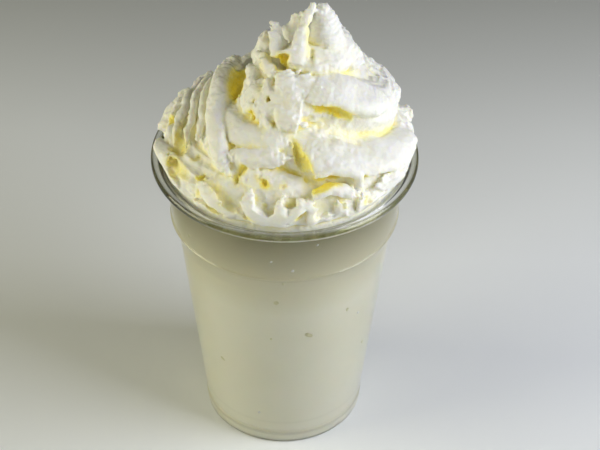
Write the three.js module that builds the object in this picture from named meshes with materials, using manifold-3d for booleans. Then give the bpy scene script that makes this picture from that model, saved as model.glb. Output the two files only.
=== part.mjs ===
// A milkshake in a clear takeaway cup, with piped whipped cream on top.
// Millimetres, +Z up. The origin is the centre of the cup's base, on the surface it stands on.
// The front, seen in the photograph, faces -Y. Angles are in degrees from the front,
// positive towards +X, so the cream is piped upwards as the angle falls.

import * as THREE from 'three';
import { mergeVertices } from 'three/addons/utils/BufferGeometryUtils.js';
import Module from 'manifold-3d';

const wasm = await Module();
wasm.setup();
const { Manifold } = wasm;

// Cup sizes
const CUP_HEIGHT = 121.5;
const RIM_RADIUS = 49;
const BEAD_RADIUS = 1.6;
const WALL = 0.7;
const RING_INNER = 27.6;
const RING_OUTER = 29.4;
const PANEL_RADIUS = 25;
const PANEL_RISE = 2.3;
const ROUND_STEPS = 40;

// Outside of the cup's wall from the foot to the lip: height, radius
const WALL_LINE = [
  [1.3, 30.7], [4.6, 30.95], [5.6, 30.35], [6.3, 30.4], [7.3, 30.95],
  [82, 39.25], [87, 39.75], [90.2, 40.5], [93.4, 41.6], [95.2, 42.2], [117.9, 44.5],
];

// Contents
const GAP = 0.3;
const DRINK_TOP = 115;

// Outer form of the cream mound: height, radius, lean towards +X
const MOUND = [
  [115, 44.6, 0], [120, 45.6, 0.4], [128, 45.7, 1.6], [134, 42.6, 3.2], [140, 39.0, 5.0], [146, 34.0, 7.2],
  [152, 28.9, 9.0], [158, 23.4, 9.3], [164, 18.9, 8.8], [170, 15.2, 8.2], [176, 11.5, 8.4], [182, 7.0, 9.0],
  [187, 1.0, 9.3],
];
const CORE_DEPTH = 6;
const CORE_TOP = 166;

// The piped rope
const RIDGES = 12;
const RIDGE_DEPTH = 0.1;
const ROPE_STEP = 5.5;
const LUMP = 0.7;
const SMALLEST_EDGE = 0.01;

// Each run of the rope: angle, height, thickness (radius of the rope)
const RIM_RUN = [
  [48, 127, 9.5], [0, 127, 10.5], [-45, 126, 10.5], [-90, 127, 11], [-135, 128, 11], [-190, 129, 11],
];
const LOWER_RUN = [
  [-170, 129, 10.5], [-225, 130, 11], [-270, 131, 11], [-300, 136, 11.5], [-330, 142, 11.5],
  [-353, 146, 10.5], [-363, 147.5, 9],
];
const MIDDLE_RUN = [
  [-4, 135, 7.5], [-34, 139, 10], [-60, 142, 11], [-90, 145, 11], [-123, 148, 11], [-160, 150, 11],
  [-200, 150, 11], [-240, 149, 11], [-280, 150, 11],
];
const CRESCENT_RUN = [
  [0, 148.5, 7.5], [-28, 147.5, 8.5], [-58, 150, 9], [-90, 153, 8],
];
const SHOULDER_RUN = [
  [-262, 150, 10.5], [-290, 153, 11], [-312, 157, 11], [-338, 161, 10], [-358, 161, 8.5], [-380, 158.5, 8],
  [-405, 157.5, 8], [-428, 158, 7.5],
];
const UPPER_RUN = [
  [-72, 163, 7], [-100, 164, 7.5], [-135, 166, 8], [-170, 167, 8], [-205, 168, 7.5], [-245, 169, 7],
  [-285, 169.5, 6.5], [-325, 170, 6], [-360, 171, 6], [-385, 172, 5.5],
];
const RUNS = [RIM_RUN, LOWER_RUN, MIDDLE_RUN, CRESCENT_RUN, SHOULDER_RUN, UPPER_RUN];

// Small folds pushed out over the rim: angle and height of both ends, radius
const RIM_FOLDS = [
  [[-46, 134], [-22, 125], 4.2], [[-18, 135], [-8, 126], 5.0], [[5, 131], [6, 123], 3.2],
  [[12, 135], [30, 131], 3.6], [[34, 133], [42, 124], 4.0], [[55, 131], [66, 125], 4.0],
  [[-62, 131], [-52, 124], 4.2], [[-84, 134], [-72, 126], 4.2], [[80, 130], [90, 125], 4.0],
];
const BACK_FOLDS = 10;
const BACK_FOLD_RADIUS = 4.6;
const RIM_FOLD_SINK = 0.72;

// Folds that stand up at the top: foot point, tip point, width, thickness
const TOP_FOLDS = [
  [[2, -3, 162], [-3.2, -2.5, 178.8], 7, 3.2],
  [[4, 3, 162], [1.8, 4.5, 181], 7, 3.4],
  [[8, -3, 160], [8.8, 0, 187], 6.2, 6],
  [[12.5, -1, 158], [13.2, 0.5, 184.8], 8.5, 7.5],
  [[14.5, 1, 158], [17.8, 2, 180.5], 8.5, 8],
];

// Deep grooves between the runs: angle and height of both ends, radius, depth below the mound's surface
const GROOVES = [
  [[-106, 157.5], [-72, 151], 3.2, 2.5],
  [[-12, 151], [4, 139], 2.6, 2.2],
  [[2, 157], [34, 151.5], 2.4, 2.0],
  [[6, 136], [27, 136.5], 2.6, 2.0],
  [[-42, 134.5], [-24, 128.5], 2.0, 1.6],
  [[-33, 137], [-25, 137.5], 2.4, 2.0],
];

// Linear interpolation in a table whose first column rises
function lookUp(table, x, column) {
  let k = 1;
  while (k < table.length - 1 && table[k][0] < x) {
    k += 1;
  }
  const [low, high] = [table[k - 1], table[k]];
  const t = THREE.MathUtils.clamp((x - low[0]) / (high[0] - low[0]), 0, 1);
  return THREE.MathUtils.lerp(low[column], high[column], t);
}

const wallRadius = (z) => lookUp(WALL_LINE, z, 1);
const moundRadius = (z) => lookUp(MOUND, z, 1);
const moundLean = (z) => lookUp(MOUND, z, 2);

// A closed geometry as a solid: shared vertices merged, faces pointing out
function solid(geometry) {
  const bare = geometry.clone();
  bare.deleteAttribute('normal');
  bare.deleteAttribute('uv');
  const merged = mergeVertices(bare, 1e-4);
  const vertProperties = new Float32Array(merged.attributes.position.array);
  const corners = Array.from(merged.index.array);
  const triangles = [];
  let volume = 0;
  for (let i = 0; i < corners.length; i += 3) {
    const [a, b, c] = corners.slice(i, i + 3);
    if (a === b || b === c || c === a) {
      continue;
    }
    triangles.push([a, b, c]);
    const [p, q, r] = [a, b, c].map((n) => new THREE.Vector3().fromArray(vertProperties, 3 * n));
    volume += p.dot(q.cross(r));
  }
  const turned = volume < 0 ? triangles.map(([a, b, c]) => [a, c, b]) : triangles;
  const triVerts = new Uint32Array(turned.flat());
  return new Manifold(new wasm.Mesh({ numProp: 3, vertProperties, triVerts }));
}

// A solid as a geometry, with corners closer than SMALLEST_EDGE joined into one
function geometryOf(manifold) {
  const mesh = manifold.getMesh();
  const geometry = new THREE.BufferGeometry();
  geometry.setAttribute('position', new THREE.BufferAttribute(mesh.vertProperties, 3));
  geometry.setIndex(new THREE.BufferAttribute(mesh.triVerts, 1));
  const merged = mergeVertices(geometry, SMALLEST_EDGE);
  const corners = Array.from(merged.index.array);
  const kept = [];
  for (let i = 0; i < corners.length; i += 3) {
    const [a, b, c] = corners.slice(i, i + 3);
    if (a !== b && b !== c && c !== a) {
      kept.push(a, b, c);
    }
  }
  merged.setIndex(kept);
  merged.computeVertexNormals();
  return merged;
}

// A profile of [radius, height] points turned about +Z
function turned(points) {
  const profile = points.map(([radius, height]) => new THREE.Vector2(radius, height));
  return new THREE.LatheGeometry(profile, ROUND_STEPS).rotateX(Math.PI / 2);
}

// Cup: recessed base, foot groove, tapered wall, stacking shoulder and rolled rim
function cupGeometry() {
  const beadCentre = [RIM_RADIUS - BEAD_RADIUS, CUP_HEIGHT - BEAD_RADIUS];
  const bead = [];
  const [first, last, steps] = [-150, 110, 9];
  for (let k = 0; k <= steps; k += 1) {
    const angle = THREE.MathUtils.degToRad(first + ((last - first) * k) / steps);
    bead.push([
      beadCentre[0] + BEAD_RADIUS * Math.cos(angle),
      beadCentre[1] + BEAD_RADIUS * Math.sin(angle),
    ]);
  }
  const [lipHeight, lipRadius] = WALL_LINE[WALL_LINE.length - 1];
  const outside = WALL_LINE.map(([height, radius]) => [radius, height]);
  const inside = WALL_LINE.slice(1).map(([height, radius]) => [radius - WALL, height]).reverse();
  const points = [
    [0, PANEL_RISE + 0.4],
    [PANEL_RADIUS, PANEL_RISE],
    [RING_INNER, 0],
    [RING_OUTER, 0],
    [RING_OUTER + 0.9, 0.4],
    ...outside,
    [lipRadius + 0.35, lipHeight + 0.8],
    ...bead,
    [lipRadius + 0.6, CUP_HEIGHT - 1],
    [lipRadius - WALL + 0.3, lipHeight + 1.2],
    ...inside,
    [RING_OUTER + 0.2, WALL + 0.6],
    [RING_OUTER - 0.3, WALL],
    [RING_INNER + 0.2, WALL],
    [PANEL_RADIUS + 0.3, PANEL_RISE + WALL],
    [0, PANEL_RISE + WALL + 0.4],
  ];
  return turned(points);
}

// Drink: fills the cup to DRINK_TOP, a gap clear of the wall
function drinkGeometry() {
  const inset = WALL + GAP;
  const side = WALL_LINE.filter(([height]) => height > 2 && height < DRINK_TOP);
  const points = [
    [0, PANEL_RISE + inset + 0.4],
    [PANEL_RADIUS + 0.5, PANEL_RISE + inset],
    [RING_INNER + 0.4, inset],
    [RING_OUTER - 0.6, inset],
    ...side.map(([height, radius]) => [radius - inset, height]),
    [wallRadius(DRINK_TOP) - inset, DRINK_TOP],
    [0, DRINK_TOP],
  ];
  return turned(points);
}

// The space the cream may fill: inside the wall up to the rim, then over the rim
function creamSpace() {
  const inset = WALL + GAP;
  const [lipHeight, lipRadius] = WALL_LINE[WALL_LINE.length - 1];
  const points = [
    [0, DRINK_TOP + GAP],
    [wallRadius(DRINK_TOP) - inset, DRINK_TOP + GAP],
    [lipRadius - inset, lipHeight],
    [lipRadius - inset, CUP_HEIGHT + GAP],
    [RIM_RADIUS - 0.3, CUP_HEIGHT + 3],
    [RIM_RADIUS - 0.3, 140],
    [30, 190],
    [0, 190],
  ];
  return solid(turned(points));
}

// A point below the mound's surface, with the surface's outward direction there
function underSurface(angle, height, depth) {
  const turn = THREE.MathUtils.degToRad(angle);
  const slope = (moundRadius(height + 2) - moundRadius(height - 2)) / 4;
  const out = new THREE.Vector3(Math.sin(turn), -Math.cos(turn), -slope).normalize();
  const point = new THREE.Vector3(
    moundLean(height) + moundRadius(height) * Math.sin(turn),
    -moundRadius(height) * Math.cos(turn),
    height,
  );
  return { point: point.addScaledVector(out, -depth), out };
}

// Soft unevenness of the cream, between about -1 and 1
function lumps(point) {
  const waves = [[0.31, 0.17, 0.24, 1.1], [-0.21, 0.38, 0.13, 2.7], [0.12, -0.26, 0.45, 4.2], [0.52, 0.33, -0.29, 0.4]];
  const sum = waves.reduce((total, [x, y, z, shift]) => (
    total + Math.sin(x * point.x + y * point.y + z * point.z + shift)
  ), 0);
  return sum / 2.4;
}

// A closed tube of changing section along a list of stations. Each station has a
// point, an outward and a sideways direction, and the half sizes along both.
function tube(stations, sides, ridgeDepth) {
  const geometry = new THREE.SphereGeometry(1, sides, stations.length - 1);
  const position = geometry.attributes.position;
  stations.forEach(({ point, out, side, high, wide }, row) => {
    for (let column = 0; column <= sides; column += 1) {
      const corner = (column % sides) / sides;
      const ridge = 1 - (column % 2) * ridgeDepth;
      const angle = 2 * Math.PI * corner;
      const place = point.clone()
        .addScaledVector(out, high * ridge * Math.cos(angle))
        .addScaledVector(side, wide * ridge * Math.sin(angle));
      const push = high > 0 ? 1 + (LUMP * lumps(place)) / 10 : 1;
      place.sub(point).multiplyScalar(push).add(point);
      position.setXYZ(row * (sides + 1) + column, place.x, place.y, place.z);
    }
  });
  return solid(geometry);
}

// One run of the piped rope, with rounded ends, laid just under the mound's surface
function ropeRun(knots) {
  const centres = knots.map(([angle, height, thickness]) => underSurface(angle, height, thickness).point);
  const path = new THREE.CatmullRomCurve3(centres, false, 'centripetal');
  const length = path.getLength();
  const steps = Math.ceil(length / ROPE_STEP);
  const stations = [];
  for (let k = 0; k <= steps; k += 1) {
    const u = k / steps;
    const point = path.getPointAt(u);
    const along = path.getTangentAt(u);
    const knot = path.getUtoTmapping(u) * (knots.length - 1);
    const low = Math.min(Math.floor(knot), knots.length - 2);
    const part = knot - low;
    const [angle, height, thickness] = knots[low].map((value, column) => (
      THREE.MathUtils.lerp(value, knots[low + 1][column], part)
    ));
    const { out } = underSurface(angle, height, 0);
    const side = new THREE.Vector3().crossVectors(along, out).normalize();
    const outward = new THREE.Vector3().crossVectors(side, along).normalize();
    const toEnd = Math.min(u, 1 - u) * length;
    const rounding = Math.sqrt(Math.max(0, 1 - Math.max(0, 1 - toEnd / thickness) ** 2));
    const size = thickness * rounding;
    stations.push({ point, out: outward, side, high: size, wide: size });
  }
  return tube(stations, 2 * RIDGES, RIDGE_DEPTH);
}

// A fold of cream that stands up from a foot and narrows to a tip
function topFold([foot, tip, width, thickness]) {
  const start = new THREE.Vector3(...foot);
  const end = new THREE.Vector3(...tip);
  const along = end.clone().sub(start).normalize();
  const side = new THREE.Vector3().crossVectors(along, new THREE.Vector3(0, 1, 0)).normalize();
  const out = new THREE.Vector3().crossVectors(side, along).normalize();
  const steps = 9;
  const stations = [];
  for (let k = 0; k <= steps; k += 1) {
    const u = k / steps;
    const size = Math.min(1, 5 * u) * (1 - u) ** 0.6;
    stations.push({
      point: start.clone().lerp(end, u),
      out,
      side,
      high: thickness * size,
      wide: width * size,
    });
  }
  return tube(stations, 10, 0.12);
}

// A round-ended tube that follows the mound between two places at a given depth
function surfaceTube(from, to, radius, depth, tall) {
  const steps = 7;
  const stations = [];
  for (let k = 0; k <= steps; k += 1) {
    const u = k / steps;
    const angle = THREE.MathUtils.lerp(from[0], to[0], u);
    const height = THREE.MathUtils.lerp(from[1], to[1], u);
    const { point, out } = underSurface(angle, height, depth);
    const next = underSurface(angle + (to[0] - from[0]) / 20, height + (to[1] - from[1]) / 20, depth).point;
    const along = next.sub(point).normalize();
    const side = new THREE.Vector3().crossVectors(along, out).normalize();
    const size = radius * Math.sqrt(Math.max(0, 1 - (2 * u - 1) ** 4));
    stations.push({ point, out, side, high: size * tall, wide: size });
  }
  return tube(stations, 8, 0);
}

// Folds round the rim: those of the front, then an even row round the back
function rimFolds() {
  const folds = [...RIM_FOLDS];
  for (let k = 0; k < BACK_FOLDS; k += 1) {
    const angle = 104 + (k * 166) / BACK_FOLDS;
    const rise = 2 * Math.sin(2.3 * k);
    folds.push([[angle, 132 + rise], [angle + 11, 124 + rise / 2], BACK_FOLD_RADIUS - 0.6 * Math.cos(1.7 * k)]);
  }
  return folds.map(([from, to, radius]) => surfaceTube(from, to, radius, radius * RIM_FOLD_SINK, 1));
}

// The cream's core, which backs the runs of rope
function creamCore() {
  const mouth = wallRadius(DRINK_TOP);
  const points = [[0, DRINK_TOP], [mouth, DRINK_TOP], [mouth, DRINK_TOP + 2], [mouth - 2, CUP_HEIGHT + 1]];
  for (let z = 126; z <= CORE_TOP; z += 6) {
    points.push([moundRadius(z) - CORE_DEPTH, z]);
  }
  points.push([0, CORE_TOP + 4]);
  const geometry = turned(points);
  const position = geometry.attributes.position;
  for (let i = 0; i < position.count; i += 1) {
    const lean = position.getZ(i) > CUP_HEIGHT ? moundLean(position.getZ(i)) : 0;
    position.setX(i, position.getX(i) + lean);
  }
  return solid(geometry);
}

// Whipped cream: core, runs of rope and top folds joined, grooves cut, held inside its space
function creamGeometry() {
  let cream = creamCore();
  for (const run of RUNS) {
    cream = cream.add(ropeRun(run));
  }
  for (const fold of rimFolds()) {
    cream = cream.add(fold);
  }
  for (const fold of TOP_FOLDS) {
    cream = cream.add(topFold(fold));
  }
  for (const [from, to, radius, depth] of GROOVES) {
    cream = cream.subtract(surfaceTube(from, to, radius, depth, 1.8));
  }
  return geometryOf(cream.intersect(creamSpace()));
}

// A named mesh with its own material
function piece(name, geometry, look) {
  const mesh = new THREE.Mesh(geometry, new THREE.MeshStandardMaterial(look));
  mesh.name = name;
  return mesh;
}

const milkshake = new THREE.Group();
milkshake.add(
  piece('cup', cupGeometry(), { color: 0xe8ebe6, roughness: 0.08, metalness: 0, transparent: true, opacity: 0.3 }),
  piece('milkshake', drinkGeometry(), { color: 0xece7cf, roughness: 0.45, metalness: 0 }),
  piece('whipped_cream', creamGeometry(), { color: 0xfaf7ea, roughness: 0.6, metalness: 0 }),
);

export default milkshake;
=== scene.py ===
"""A milkshake in a clear takeaway cup with piped whipped cream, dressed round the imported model.

Sizes are in millimetres and become metres when a mesh or an object is made. +Z is up and the
front faces -Y. Angles on the cream are in degrees from the front, positive towards +X.
"""

import itertools
import math

import bpy
import numpy as np
import openvdb
from mathutils import Matrix, Vector


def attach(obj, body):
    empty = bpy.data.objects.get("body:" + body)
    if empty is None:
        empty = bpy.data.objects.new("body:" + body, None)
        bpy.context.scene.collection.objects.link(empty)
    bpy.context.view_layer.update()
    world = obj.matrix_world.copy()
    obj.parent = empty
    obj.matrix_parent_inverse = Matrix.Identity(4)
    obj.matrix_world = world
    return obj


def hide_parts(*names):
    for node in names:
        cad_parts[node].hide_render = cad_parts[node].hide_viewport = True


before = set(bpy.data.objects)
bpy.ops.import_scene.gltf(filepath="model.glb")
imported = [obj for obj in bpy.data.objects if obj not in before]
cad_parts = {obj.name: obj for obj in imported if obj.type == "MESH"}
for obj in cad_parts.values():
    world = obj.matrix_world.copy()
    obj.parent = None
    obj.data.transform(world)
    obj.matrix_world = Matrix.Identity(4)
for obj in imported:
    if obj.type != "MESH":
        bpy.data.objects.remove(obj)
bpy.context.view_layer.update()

MM = 0.001
BODY = "root"

# Cup
CUP_HEIGHT = 121.5
RIM_RADIUS = 49.0
BEAD_RADIUS = 1.6
WALL = 0.7
RING_INNER = 27.6
RING_OUTER = 29.4
PANEL_RADIUS = 25.0
PANEL_RISE = 2.3
PANEL_CROWN = 0.4
FOOT_ROUND = 1.3
ROUND_STEPS = 192

# Outside of the cup's wall from the foot to the lip: height, radius
WALL_LINE = [
    (FOOT_ROUND, RING_OUTER + FOOT_ROUND), (4.6, 30.95), (5.6, 30.35), (6.3, 30.4), (7.3, 30.95),
    (82.0, 39.25), (87.0, 39.75), (90.2, 40.5), (93.4, 41.6), (95.2, 42.2), (117.9, 44.5),
]

# Rings of the wall: the gap between them, and a finer gap within these spans of height
RING_GAP = 2.0
FINE_GAP = 0.25
FINE_SPANS = [(1.5, 8.5), (80.0, 97.5), (116.0, 118.0)]

# How far up and down the wall's corners are softened
CORNER_SOFTNESS = 0.25

# Heights at which the tapered wall starts, above the foot and above the floor inside
WALL_START = 1.6
INSIDE_START = 2.0

# How clear the plastic is: height, red and green, blue. Near clear is its own colour; the rest is painted
# shade
# It darkens at the foot, the ledges and the rim: painted shade for the dark lines that refraction makes
# there
CLEARNESS_AND_SHADE = [
    (0.0, 0.80, 0.80), (1.2, 0.98, 0.97), (4.0, 0.98, 0.97), (4.7, 0.66, 0.64), (5.6, 0.98, 0.97),
    (10.8, 0.98, 0.97), (11.8, 0.90, 0.88), (12.8, 0.98, 0.97),
    (93.9, 0.98, 0.96), (94.6, 0.78, 0.64), (95.1, 0.98, 0.96), (116.5, 0.98, 0.96),
    (117.6, 0.70, 0.46), (118.3, 0.70, 0.46), (118.6, 1.0, 1.0), (119.6, 1.0, 1.0),
    (119.9, 0.50, 0.22), (121.1, 0.50, 0.22), (121.3, 1.0, 1.0),
]

# Painted shade on the rolled rim, darker towards its sides where it bends light from the dark surroundings:
# distance along +X, shade
RIM_SHADE = [(-49, 0.16), (-40, 0.22), (-30, 0.6), (-20, 1.0), (30, 1.0), (40, 0.7), (49, 0.35)]

# The heights between which that painted shade applies: height, share of the shade
RIM_BAND = [(118.4, 0), (118.6, 1), (121.0, 1), (121.2, 0)]

# The fine raised line at the top of the shoulder: height, how far it stands out, half its height
RIB = (95.4, 0.5, 0.42)

# Contents. They reach into the wall by half its thickness
DRINK_TOP = 115.0
CONTACT = WALL / 2

# Painted shade on the drink behind the wall, darker towards the rim where the rim and cream shade it:
# height, shade
COLLAR_SHADE = [(74.0, (1, 1, 1)), (95.5, (0.82, 0.80, 0.71)), (117.0, (0.34, 0.32, 0.175))]

# Specks in the drink against the wall: angle, height, half width
FRUIT_SPECKS = [
    (-3.7, 81.6, 1.1), (14.9, 62.8, 1.7), (38.8, 70.2, 0.9), (-41.8, 40.7, 1.2), (-6.8, 61.3, 0.7),
    (60.4, 42.2, 0.9), (-53.2, 102.0, 0.9), (-68.5, 47.7, 0.8), (0.0, 93.2, 0.8),
]
FOAM_SPECKS = [
    (4.7, 100.3, 0.8), (-5.6, 104.8, 0.6), (48.9, 64.1, 0.7), (-16.6, 16.6, 0.7), (16.1, 112.3, 0.6),
]
SPECK_COLOURS = {
    "fruit": ((0.80, 0.78, 0.48), (0.90, 0.88, 0.58)),
    "foam": ((0.94, 0.94, 0.90), (1.0, 1.0, 0.97)),
}
SPECK_CORNERS = 12
SPECK_SEED = 5

# How far a speck's middle, edge and root stand out from the surface of the drink
SPECK_CROWN = 0.1
SPECK_EDGE = 0.02
SPECK_ROOT = -0.5

# Random specks on the back: number, and the spans of their angles, heights and half widths
BACK_SPECKS = 18
BACK_SPECK_SPANS = [(75, 285), (10, 108), (0.4, 0.9)]

# Outer form of the cream mound: height, radius, lean towards +X
MOUND = [
    (115, 44.6, 0), (120, 45.6, 0.4), (128, 45.7, 1.6), (134, 42.6, 3.2), (140, 39.0, 5.0),
    (146, 34.0, 7.2), (152, 28.9, 9.0), (158, 23.4, 9.3), (164, 18.9, 8.8), (170, 15.2, 8.2),
    (176, 11.5, 8.4), (182, 7.0, 9.0), (187, 1.0, 9.3),
]

# The filled middle of the mound: how far it lies under the surface, its top, and the distance to its
# slanting side as a share of the level distance
CORE_DEPTH = 6.5
CORE_TOP = 168.0
CORE_SLANT = 0.75

# Top of the level cream that fills the cup's mouth
LEVEL_TOP = CUP_HEIGHT - 0.5

# The runs of piped rope: angle, height, radius of the rope, depth of its ridges as a share of that
RUNS = {
    "rim": [
        (48, 127, 9.5, 0.05), (0, 127, 10.5, 0.05), (-45, 126, 10.5, 0.08), (-90, 127, 11, 0.1),
        (-135, 128, 11, 0.1), (-190, 129, 11, 0.1),
    ],
    "lower": [
        (-170, 129, 10.5, 0.1), (-225, 130, 11, 0.1), (-270, 131, 11, 0.06), (-300, 136, 11.5, 0.02),
        (-330, 142, 11.5, 0.02), (-353, 146, 10.5, 0.02), (-363, 147.5, 9, 0.02),
    ],
    "middle": [
        (-4, 135, 7.5, 0.04), (-34, 139, 10, 0.06), (-60, 142, 11, 0.08), (-90, 145, 11, 0.09),
        (-123, 148, 11, 0.1), (-160, 150, 11, 0.12), (-200, 150, 11, 0.1), (-235, 149.5, 10.5, 0.1),
        (-255, 147, 7, 0.06),
    ],
    "crescent": [
        (0, 148.5, 7.5, 0.02), (-28, 147.5, 8.5, 0.02), (-58, 150, 9, 0.02), (-90, 153, 8, 0.05),
    ],
    "shoulder": [
        (-236, 146, 7, 0.05), (-262, 149.5, 9.5, 0.05), (-290, 153, 11, 0.03), (-312, 157, 11, 0.02),
        (-338, 161, 10, 0.02), (-358, 161, 8.5, 0.03), (-380, 158.5, 8, 0.04), (-405, 157.5, 8, 0.04),
        (-428, 158, 7.5, 0.04),
    ],
    "upper": [
        (-72, 163, 7, 0.05), (-100, 164, 7.5, 0.08), (-135, 166, 8, 0.1), (-170, 167, 8, 0.1),
        (-205, 168, 7.5, 0.1), (-245, 169, 7, 0.06), (-285, 169.5, 6.5, 0.04), (-325, 170, 6, 0.03),
        (-360, 171, 6, 0.03), (-385, 172, 5.5, 0.03),
    ],
}
RIDGE_COUNT = 17
RIDGE_BLUNTNESS = 0.75

# How far the ridges wander round the rope, in radians, and how slowly along it
WANDER = 0.12
WANDER_LENGTH = 9

# Paths: points for each knot, how many to each side are smoothed together, and the gap between stations
EASE_STEPS = 24
EASE_REACH = 8
PATH_STEP = 1.5

# How far round a path its section is worked out, beyond its size, and how thin a fold's ends get
SWEEP_MARGIN = 2.5
THIN_END = 0.06

# Least distance in an oval's section, so that nothing is divided by zero
LEAST = 1e-3

# Folds laid on the mound: line of (angle, height), half width, half thickness, height of the middle
# above the mound, tilt that lifts the right-hand edge, and how blunt the ends are
FOLDS = [
    (
        [(-36, 138), (-47, 141.5), (-57, 145), (-69, 148), (-84, 150.5), (-100, 152), (-114, 153)],
        4.0, 4.4, 1.0, 16, 5,
    ),
    ([(-5, 146.5), (8, 145.5), (21, 144), (41, 141), (60, 137.5), (80, 134)], 6.8, 4.0, -0.8, 24, 8),
    ([(-6, 166), (6, 164), (18, 162.5), (34, 160.5), (52, 157), (68, 152)], 7.5, 4.5, -0.8, 26, 3),
    ([(-42, 154), (-54, 157), (-68, 159.5), (-82, 161)], 2.8, 2.6, 0.6, 15, 4),
    ([(-5, 157.5), (-20, 158), (-34, 157.5), (-48, 157), (-62, 159)], 7.0, 3.6, 0.2, 0, 6),
    ([(-6, 154), (-16, 155), (-27, 157)], 5.0, 4.4, 0.1, -10, 3),
    ([(-6, 159), (-14, 160.5), (-22, 163.5), (-34, 167)], 4.8, 4.2, 0.2, 0, 3),
    ([(-30, 158), (-38, 160.5), (-48, 164)], 3.2, 3.4, 0.6, 0, 3),
    ([(-24, 152.5), (-38, 152.5)], 3.4, 3.4, -0.4, 0, 3),
    ([(-2, 160), (-6, 164), (-12, 168)], 5.0, 3.0, -0.5, 0, 4),
    ([(-70, 149.5), (-48, 147.5), (-28, 148), (-12, 149.5)], 5.0, 3.2, -1.0, 0, 4),
    ([(-40, 141.5), (-30, 142.5), (-22, 144), (-10, 145)], 3.5, 3.0, 0.2, 0, 4),
    ([(-47, 132), (-39, 130.5), (-30, 128.5), (-22, 125), (-19, 123)], 3.4, 3.2, 1.2, -8, 3),
    ([(-20, 135), (-19, 131), (-14, 127), (-8, 125.5), (-3, 127.5), (-3, 133)], 3.0, 3.4, 1.4, 0, 4),
    ([(1.5, 124), (3, 130), (7, 132.5), (11, 130), (10.5, 123)], 2.4, 3.0, 1.6, 0, 5),
    ([(9, 140.2), (17, 141.4), (25, 140.8), (31, 137.6), (30, 133)], 1.6, 2.6, 2.0, 0, 4),
    ([(8, 135), (16, 136), (24, 134.2), (29, 132)], 2.4, 3.0, 1.4, 10, 4),
    ([(21, 131), (26, 123)], 2.2, 3.0, 2.0, 0, 3),
    ([(33, 131), (35, 124)], 2.2, 3.0, 2.0, 0, 3),
    ([(42, 132), (53, 130), (64, 126)], 3.4, 3.6, 1.2, 0, 3),
    ([(38, 126.5), (48, 124), (58, 122)], 2.6, 3.2, 1.4, 0, 3),
    ([(-86, 127), (-74, 129), (-62, 132)], 3.8, 3.8, 1.2, 0, 3),
    ([(-80, 124), (-66, 125), (-54, 125.5)], 2.8, 3.4, 1.6, 0, 3),
    ([(-42, 125), (-34, 123), (-27, 122)], 2.4, 3.0, 1.6, 0, 3),
    ([(13, 127.5), (20, 124.5)], 2.0, 2.6, 1.4, 0, 3),
    ([(-80, 167), (-68, 167), (-58, 166.5), (-46, 166), (-36, 165)], 2.2, 2.4, 0.8, 20, 3),
    ([(-54, 170), (-40, 172), (-30, 174), (-20, 176)], 1.3, 1.6, 1.0, 0, 4),
    ([(-180, 122), (-90, 122), (0, 122), (90, 122), (180, 122)], 3.4, 3.2, -2.6, 0, 60),
]

# The fine ridges left by the nozzle on the left: the first one, how far back and down each next one is
# shifted, their number, and their sizes as for a fold
FIRST_RIDGE = [(-62, 139.5), (-74, 143.5), (-93, 144.5), (-108, 146.5)]
RIDGE_SHIFTS = [(5, 3), (8, 3), (8, 3.3), (7, 3.4)]
FINE_RIDGES = 4
FINE_RIDGE = (1.7, 1.6, 0.3, 8, 4)

# Folds down the back of the mound: their number, the angles they fill, the heights of both ends, how far
# round each one slants, its half width, and its height, tilt and ends as for a fold
BACK_FOLDS = 10
BACK_SPAN = (104, 270)
BACK_ENDS = (132, 124)
BACK_SLANT = 11
BACK_SIZE = 4.2
BACK_FORM = (-1.2, 0, 4)
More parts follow.
